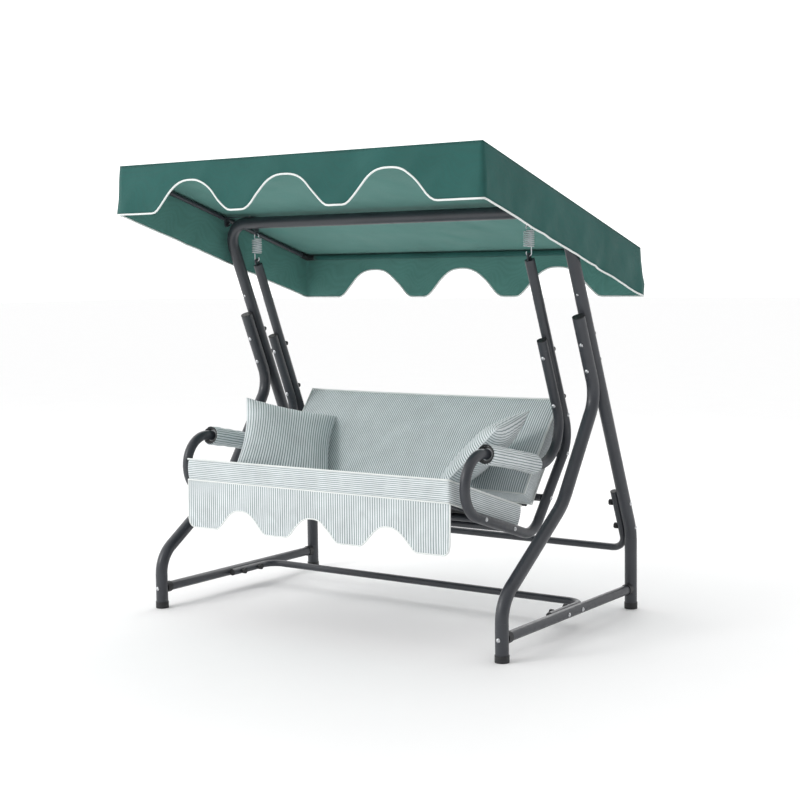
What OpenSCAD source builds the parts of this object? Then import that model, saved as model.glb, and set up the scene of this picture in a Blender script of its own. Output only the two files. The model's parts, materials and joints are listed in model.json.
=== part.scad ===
// Canopy swing bench: a tubular steel stand, a tilting canopy and a sprung two-seat bench.
// Origin: on the ground, on the symmetry plane, midway between the canopy's front and rear edges.
// +X to the sitter's left (viewer's right), +Y to the rear, +Z up. Millimetres.

/* [Stand] */
// Distance between the centrelines of the two side frames
stand_w = 1600; // [1500:10:1700]
// Outer diameter of the legs and the top bar
leg_d = 48; // [46:1:50]
// Height of the top bar's centreline
top_z = 1545; // [1530:5:1560]
// Depth from the front foot to the rear foot
foot_span = 977; // [960:1:990]
// Height where the rear leg starts to lean forward
rear_bend_z = 309; // [300:1:320]
// Lean of the rear leg from the vertical
lean = 23.5; // [23:0.1:24]
// Outer diameter of the side rails
rail_d = 38; // [36:1:38]
// Height of the side rails and the lower crossbar
rail_z = 80; // [75:1:90]
// Outer diameter of the two crossbars
crossbar_d = 28; // [26:1:30]
// Wall thickness of every tube
wall = 1.5; // [1.2:0.1:2]

/* [Canopy] */
// Outer width of the canopy cloth
canopy_w = 1656; // [1654:1:1670]
// Front edge of the cloth, measured forward of the front foot
canopy_front = 140; // [130:1:150]
// Rear edge of the cloth, measured behind the front foot
canopy_rear = 1008; // [1000:1:1015]
// Slope of the canopy roof, down to the rear
canopy_tilt = 16.6; // [14:0.1:18]
// Depth of the valance at its lobes
valance_h = 186; // [170:1:195]
// Depth of the valance at the top of its scallops
notch_h = 68; // [60:1:90]
// Distance from scallop to scallop
scallop_pitch = 456; // [440:1:470]
// Outer diameter of the canopy frame bars
bar_d = 19; // [16:1:19]

/* [Swing seat] */
// Distance between the centrelines of the two hanging side frames
seat_w = 1300; // [1280:10:1310]
// Outer diameter of the hanger and arm tubes
hanger_d = 38; // [36:1:38]
// Outer diameter of the seat's cross tubes
cross_d = 28; // [24:1:28]
// Height of the hanger pin under each spring
pin_z = 1387; // [1380:1:1395]
// Wire diameter of the springs
wire_d = 4; // [3.5:0.1:4.5]
// Outer diameter of the spring coils
coil_d = 42; // [38:1:44]

/* [Cushions] */
// Width of the seat and back cushions
cushion_w = 1228; // [1200:1:1240]
// Thickness of the seat cushion
seat_pad_t = 80; // [70:1:85]
// Thickness of the back cushion
back_pad_t = 76; // [60:1:80]
// Side of the square pillows
pillow_side = 380; // [350:5:400]
// Height of the skirt's lobes above the ground
skirt_z = 352; // [345:1:370]

/* [Hidden] */
$fn = 48;

// Colours
steel = [0.24, 0.26, 0.29];
zinc = [0.80, 0.81, 0.82];
black = [0.08, 0.08, 0.09];
teal = [0.22, 0.42, 0.38];
stripe = [0.78, 0.82, 0.80];
mesh_cloth = [0.12, 0.13, 0.14];

// Gaps: between touching tubes, in plugs and sockets, and round a bolt
touch = 0.2;
slip = 0.1;
bolt_gap = 0.2;
// Bolt shank radius for M8
m8 = 4;

leg_r = leg_d / 2;
rail_r = rail_d / 2;
crossbar_r = crossbar_d / 2;
hanger_r = hanger_d / 2;
cross_r = cross_d / 2;
bar_r = bar_d / 2;
wire_r = wire_d / 2;
side_x = stand_w / 2;
seat_x = seat_w / 2;
mid_y = (canopy_rear - canopy_front) / 2;

// ---- Paths in a plane: points with one bend radius each ----
function unit(v) = v / norm(v);
function heading(v) = atan2(v[1], v[0]);
function wrap(a) = a > 180 ? a - 360 : (a <= -180 ? a + 360 : a);
function turn_at(p, i) = wrap(heading(p[i + 1] - p[i]) - heading(p[i] - p[i - 1]));
function tangent_len(p, b, i) = b[i] == 0 ? 0 : b[i] * tan(abs(turn_at(p, i)) / 2);
function left_of(v) = [-v[1], v[0]];

// One bend of a bent rod, as part of a torus
module bend(p, b, i, r) {
    t = turn_at(p, i);
    side = t > 0 ? 1 : -1;
    d_in = unit(p[i] - p[i - 1]);
    start = p[i] - d_in * tangent_len(p, b, i);
    centre = start + left_of(d_in) * b[i] * side;
    from = heading(start - centre) - (side < 0 ? abs(t) : 0);
    translate([centre[0], centre[1], 0])
        rotate([0, 0, from])
            rotate_extrude(angle = abs(t))
                translate([b[i], 0])
                    rotate(side > 0 ? 225 : -45)
                        circle(r);
}

// One straight length of rod, made longer by the given amounts at its two ends
module straight(a, c, r, more_a = 0, more_c = 0) {
    d = unit(c - a);
    s = a - d * more_a;
    translate([s[0], s[1], 0])
        rotate([0, 0, heading(d)])
            rotate([0, 90, 0])
                rotate([0, 0, 45])
                    cylinder(h = norm(c - a) + more_a + more_c, r = r);
}

// Straights run a little way into the bends, which are a hair thinner, as drawn tube is
lap = 1;
thinning = 0.015;
module bent_rod(p, b, r, over = 0, drawn = 0) {
    last = len(p) - 1;
    for (i = [0:last - 1]) {
        d = unit(p[i + 1] - p[i]);
        straight(p[i] + d * tangent_len(p, b, i), p[i + 1] - d * tangent_len(p, b, i + 1), r,
                 i == 0 ? over : lap, i == last - 1 ? over : lap);
    }
    for (i = [1:last - 1])
        if (b[i] > 0) bend(p, b, i, r - thinning * (r + drawn));
}

module bent_tube(p, b, r) {
    difference() {
        bent_rod(p, b, r);
        bent_rod(p, b, r - wall, 5, wall);
    }
}

// Spigot at a tube's end: inward is the unit direction back into the tube that carries it
module joint_spigot(at, inward, r, reach) {
    mouth = at - inward * reach;
    inner = at + inward * 20;
    difference() {
        union() {
            straight(mouth, inner, r - wall - slip);
            straight(at + inward * 3, at + inward * 18, r - wall / 2);
        }
        straight(mouth, inner, r - 2 * wall - slip, 5, 5);
    }
}

module straight_tube(a, c, r, bore) {
    difference() {
        straight(a, c, r);
        straight(a, c, bore, 5, 5);
    }
}

// Points along such a path, moved sideways to the left by d
function arc_steps(p, b, i, d, n = 8) =
    let (t = turn_at(p, i), side = t > 0 ? 1 : -1,
         d_in = unit(p[i] - p[i - 1]),
         start = p[i] - d_in * tangent_len(p, b, i),
         centre = start + left_of(d_in) * b[i] * side,
         a0 = heading(start - centre), r = b[i] - side * d)
    [for (k = [0:n]) centre + r * [cos(a0 + t * k / n), sin(a0 + t * k / n)]];
function side_line(p, b, d) =
    let (last = len(p) - 1,
         first_n = left_of(unit(p[1] - p[0])),
         last_n = left_of(unit(p[last] - p[last - 1])))
    concat([p[0] + first_n * d],
           [for (i = [1:last - 1]) each arc_steps(p, b, i, d)],
           [p[last] + last_n * d]);
function reverse(v) = [for (i = [len(v) - 1:-1:0]) v[i]];

// ---- Placing ----
// Local x runs to the rear from the front foot, local y up; the plane stands at the given X
module side_plane(x) {
    translate([x, -mid_y, 0]) rotate([90, 0, 90]) children();
}
// A rod of the given length along +X from a point given as [x, depth, height]
module along_x(x, q) {
    translate([x, q[0] - mid_y, q[1]]) rotate([0, 90, 0]) children();
}
module both_sides() {
    children();
    mirror([1, 0, 0]) children();
}

// ---- Fasteners, along +Z from under the head ----
module round_bolt(length, r = m8) {
    head_r = r * 2;
    head_h = r * 1.1;
    ball_r = (head_r * head_r + head_h * head_h) / (2 * head_h);
    intersection() {
        translate([0, 0, ball_r - head_h]) sphere(ball_r);
        translate([0, 0, -head_h]) cylinder(h = head_h, r = head_r);
    }
    cylinder(h = length, r = r);
}
// Domed cap nut; the thread side faces -Z and lies at z = 0
module cap_nut(r = m8) {
    body_r = r * 2.6;
    body_h = r * 2.2;
    difference() {
        union() {
            cylinder(h = body_h, r = body_r);
            translate([0, 0, body_h]) intersection() {
                sphere(body_r * 0.86);
                cylinder(h = body_r, r = body_r);
            }
        }
        translate([0, 0, -1]) cylinder(h = body_h + 3, r = r + slip);
    }
}
// Fluted hand knob; same placing as the cap nut
module hand_knob(r = m8) {
    knob_r = 12;
    knob_h = 14;
    flute_r = 2.5;
    difference() {
        cylinder(h = knob_h, r = knob_r);
        for (k = [0:7])
            rotate([0, 0, k * 45])
                translate([knob_r + 1, 0, -1])
                    cylinder(h = knob_h + 2, r = flute_r, $fn = 24);
        translate([0, 0, -1]) cylinder(h = knob_h - 2, r = r + slip);
    }
}

// ---- Stand geometry, as [depth, height] ----
leg_up = [-sin(lean), cos(lean)];
leg_back = [cos(lean), sin(lean)];
function leg_axis(z) = [foot_span - tan(lean) * (z - rear_bend_z), z];
top_y = leg_axis(top_z)[0];
leg_pair = leg_d + touch;
function front_axis(z) = leg_axis(z) - leg_back * leg_pair;
cap_floor = 4;
cap_h = 25;
cap_r = leg_r + 2;
sleeve_z = 1280;
spigot_h = 60;
front_knee_z = 881;
front_top_z = 1181;
front_path = [[0, cap_floor], [0, 206], [425, 486], front_axis(front_knee_z), front_axis(front_top_z)];
front_bends = [0, 130, 220, 130, 0];
rear_path = [[foot_span, cap_floor], [foot_span, rear_bend_z], leg_axis(sleeve_z)];
rear_bends = [0, 150, 0];
top_corner_r = 110;
top_drop = (top_z - sleeve_z) / cos(lean);
top_path = [[-side_x, -top_drop], [-side_x, 0], [side_x, 0], [side_x, -top_drop]];
top_bends = [0, top_corner_r, top_corner_r, 0];
leg_bolt_z = [987.5, 1086.5];
rail_bolt_depths = [442, 546];
crossbar_x = side_x - rail_r - crossbar_r - touch;
crossbar_back = 648;
crossbar_front = 389;
crossbar_corner_r = 60;
rear_bar_x = side_x - leg_r - crossbar_r - touch;
rear_bar_z = 230;
rear_bar_top_z = 470;
rear_bolt_z = [326, 425];
saddle_start = 18;
saddle_r = 22;
rail_start = leg_r + 3;
insert_l = 25;

// Places in the plane of the leaning legs: local x across, local y up the slope from the top bar
module lean_plane(origin) {
    translate([0, origin[0] - mid_y, origin[1]]) rotate([90 + lean, 0, 0]) children();
}
// Line up with a bolt that runs square through the paired legs, from the front at height z
module leg_bolt_line(z) {
    q = front_axis(z);
    translate([side_x, q[0] - mid_y, q[1]])
        rotate([lean, 0, 0])
            rotate([-90, 0, 0])
                children();
}

module front_leg() {
    difference() {
        side_plane(side_x) bent_tube(front_path, front_bends, leg_r);
        for (z = leg_bolt_z)
            leg_bolt_line(z)
                translate([0, 0, -leg_r - 2])
                    cylinder(h = leg_d + 4, r = m8 + bolt_gap);
        translate([side_x, -mid_y - leg_r - 2, rail_z])
            rotate([-90, 0, 0])
                cylinder(h = leg_d + 4, r = m8 + bolt_gap);
    }
}
module front_leg_left() {
    color(steel) mirror([1, 0, 0]) front_leg();
}
module front_leg_right() {
    color(steel) front_leg();
}

module rear_leg() {
    difference() {
        side_plane(side_x) bent_tube(rear_path, rear_bends, leg_r);
        for (z = leg_bolt_z)
            leg_bolt_line(z)
                translate([0, 0, leg_r])
                    cylinder(h = leg_d + 4, r = m8 + bolt_gap);
        translate([side_x, foot_span - mid_y - leg_r - 2, rail_z])
            rotate([-90, 0, 0])
                cylinder(h = leg_d + 4, r = m8 + bolt_gap);
        for (z = rear_bolt_z)
            along_x(side_x - leg_r - 2, leg_axis(z))
                cylinder(h = leg_d + 4, r = m8 + bolt_gap);
        joint_screw_line() translate([0, 0, -10]) cylinder(h = 20, r = joint_screw_r + bolt_gap);
    }
}
module rear_leg_left() {
    color(steel) mirror([1, 0, 0]) rear_leg();
}
module rear_leg_right() {
    color(steel) rear_leg();
}

// Screw through the rear leg's sleeve into the top bar's spigot, from the front
joint_screw_r = 2.5;
module joint_screw_line() {
    q = leg_axis(sleeve_z) - leg_up * spigot_h / 2 - leg_back * leg_r;
    translate([side_x, q[0] - mid_y, q[1]]) rotate([lean, 0, 0]) rotate([-90, 0, 0]) children();
}

bracket_screw_x = 672;
module top_bar() {
    color(steel) difference() {
        union() {
            lean_plane([top_y, top_z]) bent_tube(top_path, top_bends, leg_r);
            for (s = [-1, 1])
                lean_plane([top_y, top_z])
                    joint_spigot([s * side_x, -top_drop], [0, 1], leg_r, spigot_h);
        }
        both_sides() joint_screw_line() translate([0, 0, -10]) cylinder(h = 20, r = joint_screw_r + bolt_gap);
        both_sides()
            translate([bracket_screw_x, top_y - mid_y, top_z])
                cylinder(h = leg_d, r = screw_r + bolt_gap);
    }
}

module side_rail() {
    color(steel)
        translate([side_x, rail_start - mid_y, rail_z])
            rotate([-90, 0, 0])
                difference() {
                    length = foot_span - 2 * rail_start;
                    cylinder(h = length, r = rail_r);
                    translate([0, 0, -1]) cylinder(h = length + 2, r = rail_r - wall);
                    for (y = rail_bolt_depths)
                        translate([0, 0, y - rail_start])
                            rotate([0, 90, 0])
                                cylinder(h = rail_d + 4, r = m8 + bolt_gap, center = true);
                }
}
module side_rail_left() {
    mirror([1, 0, 0]) side_rail();
}
module side_rail_right() {
    side_rail();
}

// Collar that beds the rail's end against a round leg; opens along +Y
module rail_saddle() {
    difference() {
        translate([0, saddle_start, 0]) rotate([-90, 0, 0]) cylinder(h = 26, r = saddle_r);
        cylinder(h = 3 * saddle_r, r = leg_r + slip, center = true);
        translate([0, rail_start, 0]) rotate([-90, 0, 0]) cylinder(h = 30, r = rail_r + slip);
        rotate([-90, 0, 0]) cylinder(h = 60, r = m8 + bolt_gap);
    }
}
// Repeats a front-leg fitting at all four corners of the base
module at_rail_ends() {
    both_sides() {
        translate([side_x, -mid_y, rail_z]) children();
        translate([side_x, foot_span - mid_y, rail_z]) mirror([0, 1, 0]) children();
    }
}
module rail_saddles() {
    color(black) at_rail_ends() rail_saddle();
}
module rail_inserts() {
    color(zinc) at_rail_ends()
        translate([0, rail_start + slip, 0])
            rotate([-90, 0, 0])
                difference() {
                    cylinder(h = insert_l, r = rail_r - wall - slip);
                    translate([0, 0, -1]) cylinder(h = insert_l + 2, r = m8 + slip);
                }
}
module rail_bolts() {
    color(zinc) at_rail_ends()
        translate([0, -leg_r - 1, 0]) rotate([-90, 0, 0]) round_bolt(leg_d + 20);
}

module lower_crossbar() {
    path = [[-crossbar_x, crossbar_front], [-crossbar_x, crossbar_back],
            [crossbar_x, crossbar_back], [crossbar_x, crossbar_front]];
    color(steel) difference() {
        translate([0, -mid_y, rail_z])
            bent_tube(path, [0, crossbar_corner_r, crossbar_corner_r, 0], crossbar_r);
        both_sides()
            for (y = rail_bolt_depths)
                along_x(crossbar_x - crossbar_r - 2, [y, rail_z])
                    cylinder(h = crossbar_d + 4, r = m8 + bolt_gap);
    }
}

// Run of the rear crossbar below the top of its upright ends, along the legs' slope
rear_bar_drop = (rear_bar_top_z - rear_bar_z) / cos(lean);
module rear_crossbar() {
    path = [[-rear_bar_x, 0], [-rear_bar_x, -rear_bar_drop],
            [rear_bar_x, -rear_bar_drop], [rear_bar_x, 0]];
    color(steel) difference() {
        lean_plane(leg_axis(rear_bar_top_z))
            bent_tube(path, [0, crossbar_corner_r, crossbar_corner_r, 0], crossbar_r);
        both_sides()
            for (z = rear_bolt_z)
                along_x(rear_bar_x - crossbar_r - 2, leg_axis(z))
                    cylinder(h = crossbar_d + 4, r = m8 + bolt_gap);
    }
}

module foot_caps() {
    color(black) both_sides()
        for (y = [0, foot_span])
            translate([side_x, y - mid_y, 0])
                difference() {
                    cylinder(h = cap_h, r = cap_r);
                    translate([0, 0, cap_floor]) cylinder(h = cap_h, r = leg_r + slip);
                }
}

// Push-in end plug along +Z: rim on the tube's end, body inside it
module tube_plug(r) {
    cylinder(h = 3, r = r);
    translate([0, 0, -14]) cylinder(h = 14.5, r = r - wall - slip);
}
module tube_plugs() {
    color(black) both_sides() {
        side_plane(side_x)
            translate([front_axis(front_top_z)[0], front_axis(front_top_z)[1], 0])
                rotate([0, 0, lean])
                    rotate([-90, 0, 0])
                        tube_plug(leg_r);
        translate([crossbar_x, crossbar_front - mid_y, rail_z])
            rotate([90, 0, 0])
                tube_plug(crossbar_r);
        lean_plane(leg_axis(rear_bar_top_z))
            translate([rear_bar_x, 0, 0])
                rotate([-90, 0, 0])
                    tube_plug(crossbar_r);
    }
}

module leg_bolts() {
    color(zinc) both_sides()
        for (z = leg_bolt_z)
            leg_bolt_line(z)
                translate([0, 0, -leg_r - 0.5])
                    round_bolt(2 * leg_d + 10);
}
module leg_cap_nuts() {
    color(black) both_sides()
        for (z = leg_bolt_z)
            leg_bolt_line(z)
                translate([0, 0, leg_pair + leg_r + 0.5])
                    cap_nut();
}

// Repeats a fitting on the four bolt lines of each side, pointing inwards from the outer face
module at_crossbar_bolts(x_rail, x_leg) {
    both_sides() {
        for (y = rail_bolt_depths)
            along_x(x_rail, [y, rail_z]) mirror([0, 0, 1]) children();
        for (z = rear_bolt_z)
            along_x(x_leg, leg_axis(z)) mirror([0, 0, 1]) children();
    }
}
module crossbar_bolts() {
    color(zinc) both_sides() {
        for (y = rail_bolt_depths)
            along_x(side_x + rail_r + 0.5, [y, rail_z])
                mirror([0, 0, 1])
                    round_bolt(rail_d + crossbar_d + 10);
        for (z = rear_bolt_z)
            along_x(side_x + leg_r + 0.5, leg_axis(z))
                mirror([0, 0, 1])
                    round_bolt(leg_d + crossbar_d + 10);
    }
}
module crossbar_knobs() {
    color(black) at_crossbar_bolts(crossbar_x - crossbar_r - 0.5, rear_bar_x - crossbar_r - 0.5)
        hand_knob();
}

module joint_screws() {
    color(zinc) both_sides() joint_screw_line()
        translate([0, 0, -0.6]) round_bolt(8, joint_screw_r);
}

// ---- Swing pivots: spring hooks in eyes above and in the hanger tubes below ----
pivot_y = 455;
pivot_z = 1503;
pin_y = pivot_y;
eye_hole_r = 4.5;
hook_r = 11;
hook_slack = eye_hole_r - wire_r - 0.5;

// Lug under the top bar with a hole across X; the hook's wire lies at the pivot
module hanger_eyes() {
    lug_t = 5;
    lug_r = 12;
    weld_depth = 3;
    reach = top_z - leg_r + weld_depth - pivot_z;
    color(steel) both_sides()
        along_x(seat_x - lug_t / 2, [pivot_y, pivot_z + hook_slack])
            difference() {
                union() {
                    cylinder(h = lug_t, r = lug_r);
                    translate([-reach + hook_slack, -lug_r, 0]) cube([reach - hook_slack, 2 * lug_r, lug_t]);
                }
                translate([0, 0, -1]) cylinder(h = lug_t + 2, r = eye_hole_r);
                translate([-(top_z - pivot_z - hook_slack), top_y - pivot_y, -1])
                    cylinder(h = lug_t + 2, r = leg_r + 0.05);
            }
}

// ---- Roof brackets and canopy tilt pivot ----
tilt_y = top_y;
tilt_z = top_z;
strap_t = 3;
strap_half_w = 13;
strap_start = 650;
ear_x = side_x - 6;
ear_t = 4;
ear_r = 13;
screw_r = 3;

module roof_bracket() {
    strap_z = top_z + leg_r;
    color(steel) difference() {
        union() {
            translate([strap_start, tilt_y - strap_half_w - mid_y, strap_z])
                cube([ear_x + ear_t - strap_start, 2 * strap_half_w, strap_t]);
            along_x(ear_x, [tilt_y, tilt_z]) cylinder(h = ear_t, r = ear_r);
            translate([ear_x, tilt_y - ear_r - mid_y, tilt_z])
                cube([ear_t, 2 * ear_r, strap_z + strap_t - tilt_z]);
        }
        translate([bracket_screw_x, tilt_y - mid_y, strap_z - 1]) cylinder(h = strap_t + 2, r = screw_r + bolt_gap);
        along_x(ear_x - 1, [tilt_y, tilt_z]) cylinder(h = ear_t + 2, r = m8 + 0.05);
    }
}
module roof_bracket_left() {
    mirror([1, 0, 0]) roof_bracket();
}
module roof_bracket_right() {
    roof_bracket();
}
module bracket_screws() {
    color(zinc) both_sides()
        translate([bracket_screw_x, tilt_y - mid_y, top_z + leg_r + strap_t])
            mirror([0, 0, 1])
                round_bolt(14, screw_r);
}

// Canopy plane, as the height of the cloth's top face over a depth
roof_lift = 41;
function roof_z(y) = tilt_z + roof_lift - tan(canopy_tilt) * (y - tilt_y);
cloth_t = 3;
bar_drop = (cloth_t + 4 + bar_r) / cos(canopy_tilt);
bar_x = canopy_w / 2 - cloth_t - 4 - bar_r;
bar_inset = 4 + cloth_t + bar_r;
front_bar_y = -canopy_front + bar_inset;
rear_bar_y = canopy_rear - bar_inset;
function bar_axis(y) = [y, roof_z(y) - bar_drop];
corner_r = bar_r + 3;
corner_l = 42;
lug_x = ear_x + ear_t + 0.4;
lug_t = 4;
lug_r = 12;

module tilt_bolts() {
    color(zinc) both_sides()
        along_x(lug_x + lug_t + 0.4, [tilt_y, tilt_z])
            mirror([0, 0, 1])
                round_bolt(24);
}
module tilt_lock_nuts() {
    color(black) both_sides()
        along_x(ear_x - 0.4, [tilt_y, tilt_z])
            mirror([0, 0, 1])
                difference() {
                    cylinder(h = 8, r = 8, $fn = 6);
                    translate([0, 0, -1]) cylinder(h = 10, r = m8 + slip);
                }
}

module canopy_side_bar() {
    a = bar_axis(front_bar_y + corner_r);
    c = bar_axis(rear_bar_y - corner_r);
    mount = bar_axis(tilt_y);
    color(steel) difference() {
        union() {
            side_plane(bar_x) straight_tube(a, c, bar_r, bar_r - wall);
            difference() {
                union() {
                    along_x(lug_x, [tilt_y, tilt_z]) cylinder(h = lug_t, r = lug_r);
                    translate([lug_x, tilt_y - lug_r - mid_y, tilt_z])
                        cube([lug_t, 2 * lug_r, mount[1] - tilt_z]);
                }
                side_plane(bar_x) straight(a, c, bar_r - 0.5);
            }
        }
        along_x(lug_x - 1, [tilt_y, tilt_z]) cylinder(h = lug_t + 2, r = m8 + 0.05);
    }
}
module canopy_side_bar_left() {
    mirror([1, 0, 0]) canopy_side_bar();
}
module canopy_side_bar_right() {
    canopy_side_bar();
}

module cross_bar(y) {
    length = 2 * (bar_x - corner_r);
    color(steel)
        along_x(-length / 2, bar_axis(y))
            difference() {
                cylinder(h = length, r = bar_r);
                translate([0, 0, -1]) cylinder(h = length + 2, r = bar_r - wall);
            }
}
module canopy_front_bar() {
    cross_bar(front_bar_y);
}
module canopy_rear_bar() {
    cross_bar(rear_bar_y);
}

// Elbow that joins a side bar and a cross bar; dir is 1 at the front and -1 at the rear
module canopy_corner(y, dir) {
    q = bar_axis(y);
    e = bar_axis(y + dir * corner_l);
    solid_x = bar_x - corner_r;
    difference() {
        union() {
            translate([bar_x, q[0] - mid_y, q[1]]) sphere(corner_r + 0.4);
            along_x(bar_x - corner_l, q) cylinder(h = corner_l, r = corner_r);
            side_plane(bar_x) straight(q, e, corner_r);
        }
        along_x(solid_x - corner_l, q) cylinder(h = corner_l, r = bar_r + slip);
        side_plane(bar_x)
            straight(bar_axis(y + dir * corner_r), bar_axis(y + dir * (corner_l + 10)), bar_r + slip);
    }
}
module canopy_corners() {
    color(black) both_sides() {
        canopy_corner(front_bar_y, 1);
        canopy_corner(rear_bar_y, -1);
    }
}

// Share of the way up a scallop at a distance x from a notch's middle: flat at the notch's top and
// along the lobe, and an S between them. edges are the S's ends, as shares of half the pitch
function s_curve(t) = let (c = max(0, min(1, t))) c * c * (3 - 2 * c);
function notch_share(x, pitch, edges) =
    let (w = 2 * abs((abs(x) / pitch + 0.5) % 1 - 0.5)) s_curve((edges[1] - w) / (edges[1] - edges[0]));
// Lower edge of a scalloped valance, as its depth below the roof's edge at a distance x
function scallop(x, pitch, lobe, notch, edges) =
    abs(x) > pitch * 1.5 ? lobe : lobe - (lobe - notch) * notch_share(x, pitch, edges);
function scallop_edge(half, pitch, lobe, notch, edges, n = 72) =
    [for (k = [0:n]) let (x = -half + 2 * half * k / n) [x, -scallop(x, pitch, lobe, notch, edges)]];
valance_edges = [0.18, 0.74];
skirt_edges = [0.08, 0.58];

module valance_across(y, thick) {
    half = canopy_w / 2;
    translate([0, y + thick - mid_y, roof_z(y)])
        rotate([90, 0, 0])
            linear_extrude(thick)
                polygon(concat([[half, 0], [-half, 0]],
                               scallop_edge(half, scallop_pitch, valance_h, notch_h,
                                            valance_edges)));
}
module valance_side(x) {
    a = [-canopy_front, roof_z(-canopy_front)];
    c = [canopy_rear, roof_z(canopy_rear)];
    drop = [0, valance_h];
    side_plane(x) linear_extrude(cloth_t) polygon([a, c, c - drop, a - drop]);
}
module canopy_cover() {
    a = [-canopy_front, roof_z(-canopy_front)];
    c = [canopy_rear, roof_z(canopy_rear)];
    thick = [0, cloth_t / cos(canopy_tilt)];
    color(teal) union() {
        side_plane(-canopy_w / 2) linear_extrude(canopy_w) polygon([a, c, c - thick, a - thick]);
        valance_side(-canopy_w / 2);
        valance_side(canopy_w / 2 - cloth_t);
        valance_across(-canopy_front, cloth_t);
        valance_across(canopy_rear - cloth_t, cloth_t);
    }
}

// ---- Springs ----
turns = 10;
// Between the end coil and the hook's stem, which reads as one wire
coil_gap = 0.3;
coil_top = 1481;
coil_bottom = 1420;
// Lines up with a spring: local z down the line from the eye to the hanger pin
module spring_line() {
    both_sides() one_spring_line() children();
}
module one_spring_line() {
    translate([seat_x, pivot_y - mid_y, pivot_z]) mirror([0, 0, 1]) children();
}
coil_from = pivot_z - coil_top;
coil_to = pivot_z - coil_bottom;
pin_from_pivot = pivot_z - pin_z;
coil_pitch = (coil_to - coil_from - wire_d) / (turns - 1);

module spring_coil() {
    ring_r = coil_d / 2 - wire_r;
    color(zinc) one_spring_line()
        for (k = [0:turns - 1])
            translate([0, 0, coil_from + wire_r + k * coil_pitch])
                rotate_extrude()
                    translate([ring_r, 0])
                        circle(wire_r, $fn = 24);
}
module spring_left() {
    mirror([1, 0, 0]) spring_coil();
}
module spring_right() {
    spring_coil();
}

// Hook from its wire's lowest point at the origin, with its stem along +Z up to the coil
module hook(stem) {
    translate([0, 0, hook_r])
        rotate([90, 0, 0])
            rotate([0, 0, 150])
                rotate_extrude(angle = 210)
                    translate([hook_r, 0])
                        circle(wire_r, $fn = 24);
    translate([hook_r, 0, hook_r - lap])
        cylinder(h = stem - hook_r + lap, r = wire_r + 0.15, $fn = 24);
}
module upper_hooks() {
    color(zinc) spring_line() hook(coil_from - coil_gap);
}
module lower_hooks() {
    color(zinc) spring_line()
        translate([0, 0, pin_from_pivot])
            mirror([0, 0, 1])
                hook(pin_from_pivot - coil_to - coil_gap);
}

// ---- Hanging side frames, as [depth, height] ----
upper_dir = unit([0.383, -0.924]);
hang_top = [pin_y, pin_z - 2];
hang_knee = [751, 689];
hang_heel = [469, 353];
run_joint = [255, 421];
hang_path = [hang_top + upper_dir * 12, hang_knee, hang_heel, run_joint];
hang_bends = [0, 130, 100, 0];
hang_dir = unit(hang_knee - hang_path[0]);
hang_front = left_of(hang_dir) * -1;
arm_pair = hanger_d + touch;
function hang_axis(s) = hang_path[0] + hang_dir * s;
function arm_axis(s) = hang_axis(s) + hang_front * arm_pair;
arm_start = 310;
arm_rear = arm_axis(869);
arm_front_top = [8, 721.6];
arm_front_low = [8, 499.5];
arm_path = [arm_axis(arm_start), arm_rear, arm_front_top, arm_front_low, run_joint];
arm_bends = [0, 140, 110, 110, 0];
arm_bolt_s = [375, 575];
run_dir = unit(run_joint - arm_front_low);
run_up = left_of(run_dir);
function run_axis(y) = arm_front_low + run_dir * (y - arm_front_low[0]) / run_dir[0];
lower_dir = unit(hang_heel - hang_knee);
function back_axis(z) = hang_knee + lower_dir * (z - hang_knee[1]) / lower_dir[1];
seat_front_at = run_axis(118);
seat_rear_at = run_axis(312);
back_lower_at = back_axis(480);
back_middle_at = [705, 635];
// Screw through the hanger beside the top of the back cushion
hang_screw_at = hang_axis(640);
cross_points = [seat_front_at, seat_rear_at, back_lower_at, back_middle_at];

module arm_bolt_line(s) {
    q = arm_axis(s);
    translate([seat_x, q[0] - mid_y, q[1]])
        rotate([heading(-hang_front), 0, 0])
            rotate([-90, 0, 0])
                children();
}
module seat_tube_holes() {
    for (q = concat(cross_points, [hang_screw_at]))
        along_x(seat_x - hanger_r - 2, q) cylinder(h = hanger_d + 4, r = m8 + bolt_gap);
    for (s = arm_bolt_s)
        arm_bolt_line(s)
            translate([0, 0, -hanger_r - 2])
                cylinder(h = 2 * hanger_d + 6, r = m8 + bolt_gap);
}
module hanger() {
    run_back = unit(hang_heel - run_joint);
    tab_t = 5;
    color(steel) difference() {
        union() {
            side_plane(seat_x) bent_tube(hang_path, hang_bends, hanger_r);
            side_plane(seat_x)
                joint_spigot(run_joint, run_back, hanger_r, 40);
            hanger_tab(tab_t);
        }
        seat_tube_holes();
        along_x(seat_x - tab_t, [pin_y, pin_z - hook_slack]) cylinder(h = 2 * tab_t, r = eye_hole_r);
    }
}
// Flat tab that closes the hanger's top and carries the hook's hole
module hanger_tab(t) {
    tab_r = 14;
    neck = 11.5;
    along_x(seat_x - t / 2, [pin_y, pin_z - hook_slack]) cylinder(h = t, r = tab_r);
    side_plane(seat_x)
        translate([hang_path[0][0], hang_path[0][1], 0])
            rotate([0, 0, heading(hang_dir)])
                rotate([0, 90, 0])
                    cylinder(h = 30, r = hanger_r - 0.5);
    side_plane(seat_x - t / 2)
        translate([hang_path[0][0], hang_path[0][1], 0])
            rotate([0, 0, heading(hang_dir)])
                translate([-5, -neck, 0])
                    cube([9, 2 * neck, t]);
}
module hanger_left() {
    mirror([1, 0, 0]) hanger();
}
module hanger_right() {
    hanger();
}

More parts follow.
